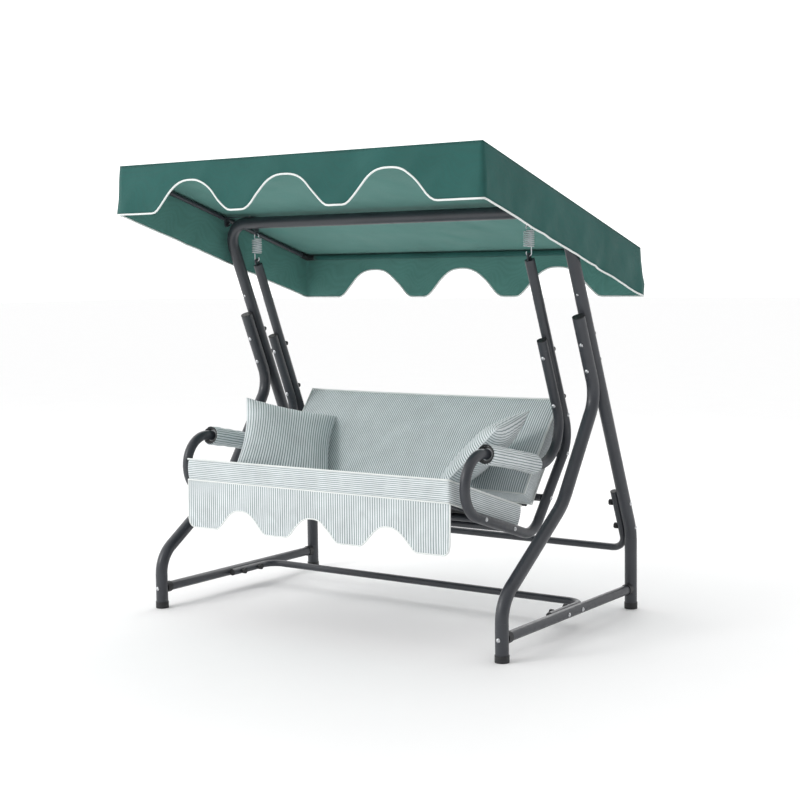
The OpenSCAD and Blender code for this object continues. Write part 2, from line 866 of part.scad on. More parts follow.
module arm_tube() {
    color(steel) difference() {
        side_plane(seat_x) bent_tube(arm_path, arm_bends, hanger_r);
        seat_tube_holes();
    }
}
module arm_tube_left() {
    mirror([1, 0, 0]) arm_tube();
}
module arm_tube_right() {
    arm_tube();
}
module arm_plugs() {
    color(black) both_sides()
        side_plane(seat_x)
            translate([arm_axis(arm_start)[0], arm_axis(arm_start)[1], 0])
                rotate([0, 0, heading(-hang_dir)])
                    rotate([0, 90, 0])
                        tube_plug(hanger_r);
}
module arm_bolts() {
    color(zinc) both_sides()
        for (s = arm_bolt_s)
            arm_bolt_line(s)
                translate([0, 0, -hanger_r - 0.5])
                    round_bolt(2 * hanger_d + 10);
}
module arm_cap_nuts() {
    color(black) both_sides()
        for (s = arm_bolt_s)
            arm_bolt_line(s)
                translate([0, 0, arm_pair + hanger_r + 0.5])
                    cap_nut();
}

// Cross tube with threaded end blocks, butted between the side frames
cross_half = seat_x - hanger_r - 0.5;
thread_l = 30;
module cross_tube(q) {
    color(steel)
        along_x(-cross_half, q)
            difference() {
                cylinder(h = 2 * cross_half, r = cross_r);
                translate([0, 0, thread_l]) cylinder(h = 2 * (cross_half - thread_l), r = cross_r - wall);
                translate([0, 0, -1]) cylinder(h = thread_l + 2, r = m8 + slip);
                translate([0, 0, 2 * cross_half - thread_l - 1]) cylinder(h = thread_l + 2, r = m8 + slip);
            }
}
module seat_front_tube() {
    cross_tube(seat_front_at);
}
module seat_rear_tube() {
    cross_tube(seat_rear_at);
}
module back_lower_tube() {
    cross_tube(back_lower_at);
}
module back_middle_tube() {
    cross_tube(back_middle_at);
}
module cross_bolts() {
    color(zinc) both_sides()
        for (q = cross_points)
            along_x(seat_x + hanger_r + 0.5, q)
                mirror([0, 0, 1])
                    round_bolt(hanger_d + 22);
    color(zinc) both_sides()
        along_x(seat_x + hanger_r + 0.5, hang_screw_at)
            mirror([0, 0, 1])
                round_bolt(hanger_d - 8);
}

// ---- Seat deck: a rod loop on the two seat tubes, and the slings ----
rod_r = 5;
deck_up = cross_r + rod_r + 0.1;
deck_half = 590;
deck_front = run_axis(-12) + run_up * deck_up;
deck_rear = run_axis(420) + run_up * deck_up;
sling_t = 2.5;
module seat_frame() {
    length = norm(deck_rear - deck_front);
    path = [[0, 0], [deck_half, 0], [deck_half, length], [-deck_half, length], [-deck_half, 0], [0, 0]];
    color(steel)
        translate([0, deck_front[0] - mid_y, deck_front[1]])
            rotate([heading(run_dir), 0, 0])
                bent_rod(path, [0, 12, 12, 12, 12, 0], rod_r);
}
// A flat strip of cloth across the seat, drawn from its side outline
module across(half, outline) {
    side_plane(-half) linear_extrude(2 * half) polygon(outline);
}
module seat_sling() {
    inset = rod_r + 2.6;
    a = deck_front + run_dir * inset;
    c = deck_rear - run_dir * inset;
    low = run_up * (sling_t / 2);
    color(mesh_cloth) across(deck_half - inset, [a - low, c - low, c + low, a + low]);
}
// The backrest's lean is the hangers' below their knee; its sling lies on the front of its two tubes
back_dir = unit(hang_knee - hang_heel);
back_out = left_of(back_dir);
// A slab along the backrest between two places on its line, from one height off it to another
function back_slab(a, c, low, high) =
    [a + back_out * low, c + back_out * low, c + back_out * high, a + back_out * high];
// Between the back tubes and the sling on them
sling_gap = 0.8;
module back_sling() {
    near = cross_r + sling_gap;
    color(mesh_cloth)
        across(deck_half,
               back_slab(back_axis(440), hang_knee - back_dir * 55, near, near + sling_t));
}

// ---- Soft parts ----
pad_gap = 0.5;
seat_pad_low = deck_up + rod_r + pad_gap;
pad_front = -30;
pad_rear = 434;
module seat_cushion() {
    a = run_axis(pad_front) + [0, seat_pad_low / run_up[1]];
    c = run_axis(pad_rear) + [0, seat_pad_low / run_up[1]];
    up = [0, seat_pad_t / run_up[1]];
    color(stripe) across(cushion_w / 2, [a, c, c + run_up * seat_pad_t, a + up]);
}
back_pad_low = cross_r + sling_gap + sling_t + pad_gap;
// How far the cushion stands up past the hangers' knee
back_pad_over = 119;
module back_cushion() {
    color(stripe)
        across(cushion_w / 2,
               back_slab(back_axis(447), hang_knee + back_dir * back_pad_over,
                         back_pad_low, back_pad_low + back_pad_t));
}

skirt_t = 4;
skirt_pitch = 346;
skirt_notch = 80;
module seat_skirt() {
    top = run_axis(pad_front)[1] + seat_pad_low / run_up[1] - 2;
    half = cushion_w / 2;
    color(stripe)
        translate([0, pad_front + skirt_t - mid_y, top])
            rotate([90, 0, 0])
                linear_extrude(skirt_t)
                    polygon(concat([[half, 0], [-half, 0]],
                                   scallop_edge(half, skirt_pitch, top - skirt_z,
                                                top - skirt_z - skirt_notch, skirt_edges)));
}

// Sleeve on the armrest's straight stretch
pad_from = 145;
pad_to = 480;
arm_rest_dir = unit(arm_rear - arm_front_top);
function rest_axis(y) = arm_front_top + arm_rest_dir * (y - arm_front_top[0]) / arm_rest_dir[0];
sleeve_r = 41;
module arm_pad() {
    color(stripe) side_plane(seat_x)
        straight_tube(rest_axis(pad_from), rest_axis(pad_to), sleeve_r, hanger_r + 0.3);
}
module arm_pad_left() {
    mirror([1, 0, 0]) arm_pad();
}
module arm_pad_right() {
    arm_pad();
}

// Square pillow lying in its XY plane, thickest in the middle
pillow_t = 110;
module pillow_body() {
    reach = pillow_side / 2;
    edge_t = 14;
    sag = (pillow_t - edge_t) / 2;
    lens_r = (reach * reach + sag * sag) / (2 * sag);
    intersection() {
        cube([pillow_side, pillow_side, pillow_t], center = true);
        translate([0, 0, pillow_t / 2 - lens_r]) sphere(lens_r, $fn = 96);
        translate([0, 0, lens_r - pillow_t / 2]) sphere(lens_r, $fn = 96);
    }
}
// Where each pillow's middle lies, and its turns: about Z, then back from lying, then in its plane
left_pillow_at = [-465, 402, 654];
left_pillow_turn = [57, 44.5, -19];
right_pillow_at = [474.5, 390, 657.5];
right_pillow_turn = [-73, 45, 83.5];
module pillow(at, turn) {
    color(stripe)
        translate([at[0], at[1] - mid_y, at[2]])
            rotate([0, 0, turn[0]])
                rotate([turn[1], 0, 0])
                    rotate([0, 0, turn[2]])
                        pillow_body();
}
module pillow_left() {
    pillow(left_pillow_at, left_pillow_turn);
}
module pillow_right() {
    pillow(right_pillow_at, right_pillow_turn);
}

front_leg_left();
front_leg_right();
rear_leg_left();
rear_leg_right();
top_bar();
side_rail_left();
side_rail_right();
rail_saddles();
rail_inserts();
lower_crossbar();
rear_crossbar();
foot_caps();
tube_plugs();
leg_bolts();
leg_cap_nuts();
crossbar_bolts();
crossbar_knobs();
rail_bolts();
joint_screws();
hanger_eyes();
roof_bracket_left();
roof_bracket_right();
bracket_screws();
tilt_bolts();
tilt_lock_nuts();
canopy_side_bar_left();
canopy_side_bar_right();
canopy_front_bar();
canopy_rear_bar();
canopy_corners();
canopy_cover();
spring_left();
spring_right();
upper_hooks();
lower_hooks();
hanger_left();
hanger_right();
arm_tube_left();
arm_tube_right();
arm_plugs();
seat_front_tube();
seat_rear_tube();
back_lower_tube();
back_middle_tube();
seat_frame();
seat_sling();
back_sling();
cross_bolts();
arm_bolts();
arm_cap_nuts();
arm_pad_left();
arm_pad_right();
seat_cushion();
back_cushion();
seat_skirt();
pillow_left();
pillow_right();
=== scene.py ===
"""Canopy swing bench: cloth, cushions, coil springs, materials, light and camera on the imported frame."""

import json
import math

import bpy
import numpy as np
from mathutils import Matrix, Vector, noise


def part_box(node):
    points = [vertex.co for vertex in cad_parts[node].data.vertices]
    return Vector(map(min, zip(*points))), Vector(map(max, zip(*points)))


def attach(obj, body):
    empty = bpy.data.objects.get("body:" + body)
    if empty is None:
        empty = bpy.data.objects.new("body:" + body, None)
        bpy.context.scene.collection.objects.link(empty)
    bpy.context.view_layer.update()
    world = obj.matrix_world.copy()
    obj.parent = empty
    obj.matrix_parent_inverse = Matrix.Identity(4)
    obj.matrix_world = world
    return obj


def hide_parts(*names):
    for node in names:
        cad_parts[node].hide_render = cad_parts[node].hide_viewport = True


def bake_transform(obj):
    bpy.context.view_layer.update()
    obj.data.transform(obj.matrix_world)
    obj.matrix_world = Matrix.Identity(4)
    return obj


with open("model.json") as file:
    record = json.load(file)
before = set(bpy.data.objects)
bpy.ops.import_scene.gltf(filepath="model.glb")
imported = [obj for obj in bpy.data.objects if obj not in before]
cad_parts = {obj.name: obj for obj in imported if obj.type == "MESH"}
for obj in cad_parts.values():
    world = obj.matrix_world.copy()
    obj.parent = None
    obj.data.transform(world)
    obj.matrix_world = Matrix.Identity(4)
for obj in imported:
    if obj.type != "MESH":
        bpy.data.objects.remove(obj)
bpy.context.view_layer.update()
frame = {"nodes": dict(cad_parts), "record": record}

MM = 0.001
# Depths are measured from the front foot's axis, as in the part's source; the frame's origin is behind it
MID_DEPTH = 434.0


# ---- Plane curves, in millimetres of depth and height ----


def unit(v):
    v = np.asarray(v, float)
    return v / np.linalg.norm(v)


def left_of(v):
    return np.array([-v[1], v[0]])


def place(x, depth, z):
    return (x * MM, (depth - MID_DEPTH) * MM, z * MM)


# ---- The seat's lines, from the same dimensions as the part ----

seat_x = 650.0
cushion_half = 614.0
cross_r = 14.0
arm_front_top = np.array([8, 721.6])
arm_front_low = np.array([8, 499.5])
run_joint = np.array([255, 421.0])
run_dir = unit(run_joint - arm_front_low)
run_up = left_of(run_dir)
hang_knee = np.array([751, 689.0])
hang_heel = np.array([469, 353.0])
back_dir = unit(hang_knee - hang_heel)
back_out = left_of(back_dir)


def run_axis(depth):
    return arm_front_low + run_dir * (depth - 8) / run_dir[0]


def back_axis(z):
    return hang_knee + back_dir * (z - hang_knee[1]) / back_dir[1]


# ---- Meshes ----


def mesh_piece(name, verts, faces, stripe=None):
    """A smooth mesh. stripe gives each face corner's place across the cloth's stripes, in stripes."""
    mesh = bpy.data.meshes.new(name)
    mesh.from_pydata([tuple(v) for v in verts], [], faces)
    mesh.update()
    if stripe is not None:
        layer = mesh.attributes.new("stripe", "FLOAT", "CORNER")
        flat = [value for face in stripe for value in face]
        layer.data.foreach_set("value", flat)
    mesh.polygons.foreach_set("use_smooth", [True] * len(mesh.polygons))
    made = bpy.data.objects.new(name, mesh)
    bpy.context.scene.collection.objects.link(made)
    return made


def apply_modifiers(piece):
    bpy.context.view_layer.update()
    graph = bpy.context.evaluated_depsgraph_get()
    made = bpy.data.meshes.new_from_object(piece.evaluated_get(graph), depsgraph=graph)
    piece.modifiers.clear()
    old, piece.data = piece.data, made
    bpy.data.meshes.remove(old)
    made.polygons.foreach_set("use_smooth", [True] * len(made.polygons))


def smoothed(piece):
    mod = piece.modifiers.new("smooth", "SUBSURF")
    mod.levels = mod.render_levels = 1
    apply_modifiers(piece)


def thickened(piece, thick):
    """Gives a sheet its thickness, half of it on each side."""
    mod = piece.modifiers.new("thick", "SOLIDIFY")
    mod.thickness = thick
    mod.offset = 0.0
    apply_modifiers(piece)


def lattice(nu, nv, nt, sides=("top", "bottom", "front", "rear", "left", "right")):
    """The outside of a block of cells, as (i, j, k) keys and faces with their side's name."""
    keys, faces = {}, []

    def key(i, j, k):
        return keys.setdefault((i, j, k), len(keys))

    for side in sides:
        if side in ("top", "bottom"):
            k = nt if side == "top" else 0
            cells = [[(i, j, k), (i + 1, j, k), (i + 1, j + 1, k), (i, j + 1, k)]
                     for i in range(nu) for j in range(nv)]
            flip = side == "bottom"
        elif side in ("front", "rear"):
            j = 0 if side == "front" else nv
            cells = [[(i, j, k), (i + 1, j, k), (i + 1, j, k + 1), (i, j, k + 1)]
                     for i in range(nu) for k in range(nt)]
            flip = side == "rear"
        else:
            i = 0 if side == "left" else nu
            cells = [[(i, j, k), (i, j + 1, k), (i, j + 1, k + 1), (i, j, k + 1)]
                     for j in range(nv) for k in range(nt)]
            flip = side == "left"
        for cell in cells:
            if flip:
                cell = cell[::-1]
            faces.append((side, [key(*c) for c in cell], cell))
    return list(keys), faces


def rim_keys(nu, nv, k):
    """The keys round a lattice's edge at level k, from its front left corner."""
    near = [(i, 0, k) for i in range(nu)] + [(nu, j, k) for j in range(nv)]
    return near + [(i, nv, k) for i in range(nu, 0, -1)] + [(0, j, k) for j in range(nv, 0, -1)]


def grid_faces(columns, rows, down_first=False):
    """The faces between points that were laid out column by column."""
    faces = []
    for i in range(columns):
        for j in range(rows):
            a = i * (rows + 1) + j
            b = a + rows + 1
            faces.append([a, a + 1, b + 1, b] if down_first else [a, b, b + 1, a + 1])
    return faces


def tube_faces(rows, around):
    """The faces between closed rings of points that were laid out ring by ring."""
    faces = []
    for i in range(rows):
        here, ahead = i * around, (i + 1) * around
        for j in range(around):
            k = (j + 1) % around
            faces.append([here + j, ahead + j, ahead + k, here + k])
    return faces


def piping(name, points, radius, body, material, closed=True):
    """A round cord sewn in a seam."""
    curve = bpy.data.curves.new(name, "CURVE")
    curve.dimensions = "3D"
    curve.bevel_depth = radius
    curve.bevel_resolution = 2
    curve.use_fill_caps = True
    spline = curve.splines.new("POLY")
    spline.points.add(len(points) - 1)
    for point, at in zip(spline.points, points):
        point.co = (*at, 1)
    spline.use_cyclic_u = closed
    spline.use_smooth = True
    made = bpy.data.objects.new(name, curve)
    bpy.context.scene.collection.objects.link(made)
    made.data.materials.append(material)
    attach(made, body)
    return made


def ripple(x, y, seed, scale):
    """Smooth noise from -1 to 1 with a feature size of scale, in the units of x and y."""
    return noise.noise(Vector((x / scale, y / scale, seed)))


def finish_piece(piece, material, slot_name, body, *nodes):
    """Gives a piece its material and body, and hides the CAD nodes whose place it takes. slot_name is not
    used.
    """
    piece.data.materials.clear()
    piece.data.materials.append(material)
    if nodes:
        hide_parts(*nodes)
    if body:
        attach(piece, body)


# ---- Materials ----


def srgb(r, g, b):
    def linear(c):
        c /= 255
        return c / 12.92 if c <= 0.04045 else ((c + 0.055) / 1.055) ** 2.4
    return (linear(r), linear(g), linear(b), 1.0)


class Shader:
    """A material's node tree, with short ways to add and join nodes."""

    def __init__(self, name):
        self.material = bpy.data.materials.new(name)
        self.material.use_nodes = True
        self.tree = self.material.node_tree
        self.surface = self.tree.nodes["Principled BSDF"]

    def node(self, kind, **values):
        made = self.tree.nodes.new("ShaderNode" + kind)
        for name, value in values.items():
            setattr(made, name, value)
        return made

    def join(self, out, into):
        if hasattr(out, "default_value") or hasattr(out, "links"):
            self.tree.links.new(out, into)
        else:
            into.default_value = out

    def math(self, operation, a, b=0.0):
        made = self.node("Math", operation=operation)
        self.join(a, made.inputs[0])
        self.join(b, made.inputs[1])
        return made.outputs[0]

    def mix(self, share, a, b):
        made = self.node("Mix", data_type="RGBA")
        self.join(share, made.inputs["Factor"])
        for value, socket in ((a, made.inputs[6]), (b, made.inputs[7])):
            self.join(value, socket)
        return made.outputs[2]

    def noise(self, scale, detail=3.0, stretch=(1, 1, 1)):
        where = self.node("TexCoord").outputs["Object"]
        mapping = self.node("Mapping")
        mapping.inputs["Scale"].default_value = stretch
        self.join(where, mapping.inputs["Vector"])
        made = self.node("TexNoise")
        self.join(mapping.outputs[0], made.inputs["Vector"])
        made.inputs["Scale"].default_value = scale
        made.inputs["Detail"].default_value = detail
        return made.outputs["Fac"]

    def threads(self, pitch):
        """A plain weave: threads over and under each other along the three axes."""
        where = self.node("TexCoord").outputs["Object"]
        total = None
        for axis in ("X", "Y", "Z"):
            wave = self.node("TexWave", wave_type="BANDS", bands_direction=axis)
            self.join(where, wave.inputs["Vector"])
            wave.inputs["Scale"].default_value = 1 / pitch / 3.2
            wave.inputs["Distortion"].default_value = 0.6
            out = wave.outputs["Fac"]
            total = out if total is None else self.math("ADD", total, out)
        return self.math("MULTIPLY", total, 1 / 3)

    def range(self, value, low, high, to_low=0.0, to_high=1.0):
        made = self.node("MapRange")
        self.join(value, made.inputs["Value"])
        for name, number in (("From Min", low), ("From Max", high),
                             ("To Min", to_low), ("To Max", to_high)):
            made.inputs[name].default_value = number
        return made.outputs[0]

    def bump(self, height, strength, distance, under=None):
        made = self.node("Bump")
        made.inputs["Strength"].default_value = strength
        made.inputs["Distance"].default_value = distance
        self.join(height, made.inputs["Height"])
        if under is not None:
            self.join(under, made.inputs["Normal"])
        return made.outputs[0]

    def finish(self, color, roughness, normal=None, **constants):
        self.join(color, self.surface.inputs["Base Color"])
        self.join(roughness, self.surface.inputs["Roughness"])
        if normal is not None:
            self.join(normal, self.surface.inputs["Normal"])
        for name, value in constants.items():
            self.surface.inputs[name.replace("_", " ")].default_value = value
        return self.material


def striped_cloth(name, light, dark, weave=0.0016):
    """Woven stripes, with the light stripe the wider, from the mesh's own stripe count."""
    s = Shader(name)
    place_in = s.node("Attribute", attribute_name="stripe").outputs["Fac"]
    wave = s.math("SINE", s.math("MULTIPLY", place_in, 2 * math.pi))
    line = s.range(wave, 0.3, 0.6)
    tint = s.range(s.noise(14, 4), 0.3, 0.7)
    pale = s.mix(tint, srgb(*light), srgb(*[c * 0.955 for c in light]))
    deep = s.mix(tint, srgb(*dark), srgb(*[c * 0.93 for c in dark]))
    woven = s.threads(weave)
    color = s.mix(line, pale, deep)
    color = s.mix(s.range(woven, 0.3, 0.8, 0.0, 0.16), color, srgb(*[c * 0.72 for c in dark]))
    folds = s.bump(s.noise(26, 3), 0.35, 0.004)
    normal = s.bump(woven, 0.45, 0.0006, folds)
    return s.finish(color, s.range(woven, 0, 1, 0.94, 0.8), normal,
                    Sheen_Weight=0.25, Sheen_Roughness=0.5, Specular_IOR_Level=0.25)


def plain_cloth(name, color_a, color_b, inner=None, weave=0.0014, sheen=0.2, crease=0.3):
    """One colour of close weave. inner is a paler tone painted on the inner side: painted light of the
    daylight that comes through the cloth.
    """
    s = Shader(name)
    tint = s.range(s.noise(5, 5), 0.3, 0.7)
    color = s.mix(tint, srgb(*color_a), srgb(*color_b))
    # Painted light: the inner side's paler colour stands in for daylight shining through the weave
    if inner is not None:
        share = s.node("Attribute", attribute_name="inner").outputs["Fac"]
        painted_daylight = s.mix(tint, srgb(*inner), srgb(*[c * 0.95 for c in inner]))
        color = s.mix(share, color, painted_daylight)
    woven = s.threads(weave)
    color = s.mix(s.range(woven, 0.35, 0.8, 0.0, 0.2), color, srgb(*[c * 0.7 for c in color_b]))
    creases = s.noise(5, 4)
    creases.node.noise_type = "RIDGED_MULTIFRACTAL"
    folds = s.bump(creases, crease, 0.02, s.bump(s.noise(9, 4), 0.35, 0.012))
    normal = s.bump(woven, 0.4, 0.0005, folds)
    return s.finish(color, s.range(woven, 0, 1, 0.92, 0.74), normal,
                    Sheen_Weight=sheen, Sheen_Roughness=0.45, Specular_IOR_Level=0.3)


def powder_coat(name):
    s = Shader(name)
    tint = s.range(s.noise(6, 4), 0.3, 0.7)
    color = s.mix(tint, srgb(47, 50, 56), srgb(55, 58, 64))
    scuffs = s.range(s.noise(38, 6, (1, 1, 3)), 0.66, 0.72, 0.0, 0.35)
    color = s.mix(scuffs, color, srgb(84, 87, 91))
    peel = s.noise(900, 2)
    return s.finish(color, s.range(s.noise(60, 3), 0.3, 0.7, 0.3, 0.46),
                    s.bump(peel, 0.12, 0.0004), Coat_Weight=0.15, Coat_Roughness=0.35,
                    Specular_IOR_Level=0.5)


def metal(name, color, low, high):
    s = Shader(name)
    tint = s.range(s.noise(40, 4), 0.3, 0.7)
    tone = s.mix(tint, srgb(*color), srgb(*[c * 0.86 for c in color]))
    brushed = s.noise(700, 3, (1, 1, 0.1))
    return s.finish(tone, s.range(s.noise(120, 4), 0.3, 0.7, low, high),
                    s.bump(brushed, 0.1, 0.0002), Metallic=1.0)


def moulded(name):
    s = Shader(name)
    tint = s.range(s.noise(25, 4), 0.3, 0.7)
    color = s.mix(tint, srgb(34, 35, 37), srgb(44, 45, 47))
    grain = s.noise(1400, 2)
    return s.finish(color, s.range(s.noise(90, 3), 0.3, 0.7, 0.42, 0.6),
                    s.bump(grain, 0.25, 0.0003), Specular_IOR_Level=0.45)


stripes = striped_cloth("woven_stripe", (238, 243, 245), (140, 157, 159))
piping_cloth = plain_cloth("piping_white", (246, 249, 247), (236, 241, 239), weave=0.0009)
# inner is painted light: the paler tone of daylight shining through the roof's weave
teal_cloth = plain_cloth("canopy_teal", (44, 97, 92), (37, 87, 82), inner=(92, 145, 137),
                         sheen=0.1, crease=1.0)
sling_mesh = plain_cloth("sling_mesh", (40, 43, 45), (32, 35, 37), weave=0.0022, sheen=0.1)
velcro = plain_cloth("velcro_dark", (52, 56, 58), (38, 41, 43), weave=0.0018, sheen=0.4)
finishes = {
    "frame_paint": powder_coat("powder_coat"),
    "zinc": metal("bright_zinc", (205, 207, 210), 0.22, 0.4),
    "spring_steel": metal("spring_zinc", (232, 234, 237), 0.28, 0.42),
    "black_plastic": moulded("moulded_black"),
}
for part in frame["record"]["subparts"]:
    finish = finishes.get(part["material_slot"])
    if finish is None:
        continue
    cad = frame["nodes"][part["node"]]
    if not cad.material_slots:
        cad.data.materials.append(finish)
    for holder in cad.material_slots:
        holder.material = finish


# ---- Cushions ----

stripe_pitch, band_pitch = 10.5, 7.2
piping_r, seam_r = 3.2 * MM, 1.8 * MM
cushion_cell = 13.0


def rise(distance, reach):
    return 1 - math.exp(-max(0.0, distance) / reach)


def cushion(name, lower, upper, half, thick, crown, pull, pitch, seed):
    """A filled slab between two plane curves, crowned on its upper side. Returns it and its two rims.

    lower and upper give a point at a share of the depth; the sides pull in by pull between corners."""
    dent, tuck_depth, bulge_out, pucker_out = 2.6, 1.8, 3.4, 1.1
    depth = float(np.linalg.norm(upper(1.0) - upper(0.0)))
    nu, nv, nt = round(2 * half / cushion_cell), round(depth / cushion_cell), 6
    keys, faces = lattice(nu, nv, nt)
    verts = []
    for i, j, k in keys:
        u, v, t = i / nu, j / nv, k / nt
        x = (2 * u - 1) * (half - pull * math.sin(math.pi * v) ** 0.7)
        inset = pull / depth * math.sin(math.pi * u) ** 0.5
        vv = inset + v * (1 - 2 * inset)
        low, high = np.array(lower(vv)), np.array(upper(vv))
        up = unit(high - low)
        here = low + (high - low) * t
        near_u, near_v = min(u, 1 - u) * 2 * half, min(v, 1 - v) * depth
        if k == nt:
            swell = crown * rise(near_u, 55) * rise(near_v, 50)
            near = min(near_u, near_v)
            swell += dent * ripple(x, vv * depth, seed, 95) * rise(near, 30)
            tuck = tuck_depth * math.sin(x / 21 + 3 * ripple(x, 0, seed + 5, 160))
            swell += tuck * math.exp(-near / 26) * rise(near, 8)
            here = here + up * swell
        elif k > 0:
            bulge = bulge_out * math.sin(math.pi * t)
            pucker = pucker_out * ripple(x + vv * depth, t * thick * 2, seed + 9, 42)
            if i in (0, nu):
                x += (bulge + pucker) * (1 if i else -1)
            if j in (0, nv):
                ahead, behind = upper(min(1, vv + 0.01)), upper(max(0, vv - 0.01))
                along = unit(np.array(ahead) - np.array(behind))
                here = here + along * (bulge + pucker) * (1 if j else -1)
        verts.append(place(x, *here))
    stripe = []
    for side, _, cell_keys in faces:
        if side in ("top", "bottom"):
            stripe.append([i / nu * 2 * half / pitch for i, j, k in cell_keys])
        else:
            stripe.append([k / nt * thick / band_pitch for i, j, k in cell_keys])
    piece = mesh_piece(name, verts, [f for _, f, _ in faces], stripe)
    where = dict(zip(keys, verts))
    return piece, [[where[key] for key in rim_keys(nu, nv, k)] for k in (0, nt)]


# Seat cushion. Its underside lies deck_lift above the axes of the cross tubes
deck_lift = 24.6
deck_off = deck_lift / run_up[1]
seat_thick = 80.0
pad_front, pad_rear = -30.0, 434.0
front_low = run_axis(pad_front) + [0, deck_off]
rear_low = run_axis(pad_rear) + [0, deck_off]
front_high = front_low + [0, seat_thick / run_up[1]]
rear_high = rear_low + run_up * seat_thick


def seat_lower(v):
    return front_low + (rear_low - front_low) * v


def seat_upper(v):
    return front_high + (rear_high - front_high) * v


seat_cushion, seat_rims = cushion(
    "seat_cushion_cloth", seat_lower, lambda v: seat_upper(v) - run_up * 3, cushion_half - 4,
    seat_thick, crown=9, pull=4, pitch=stripe_pitch, seed=3.0)
smoothed(seat_cushion)
finish_piece(seat_cushion, stripes, "cushion_cloth", "seat", "seat_cushion")
for label, rim in zip(("low", "high"), seat_rims):
    piping("seat_piping_" + label, rim, piping_r, "seat", piping_cloth)

# Back cushion
back_foot, back_head = back_axis(447), hang_knee + back_dir * 119
back_low, back_thick = 17.8, 76.0


def back_lower(v):
    return back_foot + (back_head - back_foot) * v + back_out * back_low


def back_upper(v):
    return back_foot + (back_head - back_foot) * v + back_out * (back_low + back_thick - 4)


back_cushion, back_rims = cushion(
    "back_cushion_cloth", back_lower, back_upper, cushion_half - 4,
    back_thick, crown=12, pull=5, pitch=9.5, seed=11.0)
smoothed(back_cushion)
finish_piece(back_cushion, stripes, "cushion_cloth", "seat", "back_cushion")
for label, rim in zip(("rear", "front"), back_rims):
    piping("back_piping_" + label, rim, piping_r, "seat", piping_cloth)


# ---- Throw pillows ----


pillow_side, pillow_thick = 380.0, 110.0


def pillow(name, node, at, turn, seed):
    """A square pillow, thin along its seam, whose sides pull in between its corners."""
    n = 30
    keys, faces = lattice(n, n, 2)
    reach, pull, edge = pillow_side / 2, 17.0, 3.0
    half_thick = pillow_thick / 2
    pucker_depth, dent = 3.2, 5.0
    verts = []
    turned = (Matrix.Rotation(math.radians(turn[0]), 3, "Z")
              @ Matrix.Rotation(math.radians(turn[1]), 3, "X")
              @ Matrix.Rotation(math.radians(turn[2]), 3, "Z"))
    middle = Vector(place(*at))
    for i, j, k in keys:
        a, b = 2 * i / n - 1, 2 * j / n - 1
        x = a * (reach - 1 - pull * (1 - b * b) ** 1.2)
        y = b * (reach - 1 - pull * (1 - a * a) ** 1.2)
        full = ((1 - abs(a) ** 3.2) * (1 - abs(b) ** 3.2)) ** 0.62
        high = edge + (half_thick - 2 - edge) * full
        side_sign = 1 if k == 2 else -1 if k == 0 else 0
        near = (1 - max(abs(a), abs(b))) * reach
        along = a if abs(b) > abs(a) else b
        pucker = pucker_depth * math.sin(along * 26 + 2.5 * ripple(along, 0, seed, 0.4))
        pucker *= math.exp(-near / 28) * rise(near, 6)
        dents = dent * ripple(a + 3 * side_sign, b, seed, 0.55) * full
        z = side_sign * (high + (pucker + dents) * (1 if side_sign else 0))
        z = max(-half_thick, min(half_thick, z))
        verts.append(middle + turned @ (Vector((x, y, z)) * MM))
    stripe = [[(2 * i / n - 1) * reach / stripe_pitch for i, j, k in cell] for _, _, cell in faces]
    piece = mesh_piece(name, verts, [f for _, f, _ in faces], stripe)
    smoothed(piece)
    finish_piece(piece, stripes, "cushion_cloth", "seat", node)
    where = dict(zip(keys, verts))
    seam = [where[key] for key in rim_keys(n, n, 1)]
    piping(name + "_seam", seam, seam_r, "seat", stripes)


pillow("pillow_left_cloth", "pillow_left", (-465, 402, 654), (57, 44.5, -19), 21.0)
pillow("pillow_right_cloth", "pillow_right", (474.5, 390, 657.5), (-73, 45, 83.5), 33.0)


# ---- Arm sleeves ----

sleeve_from, sleeve_to = 145.0, 480.0
sleeve_inner, sleeve_outer = 19.7, 40.6
arm_rear = np.array([764.7, 559.0])
rest_dir = unit(arm_rear - arm_front_top)
rest_up = left_of(rest_dir)


def rest_axis(depth):
    return arm_front_top + rest_dir * (depth - arm_front_top[0]) / rest_dir[0]


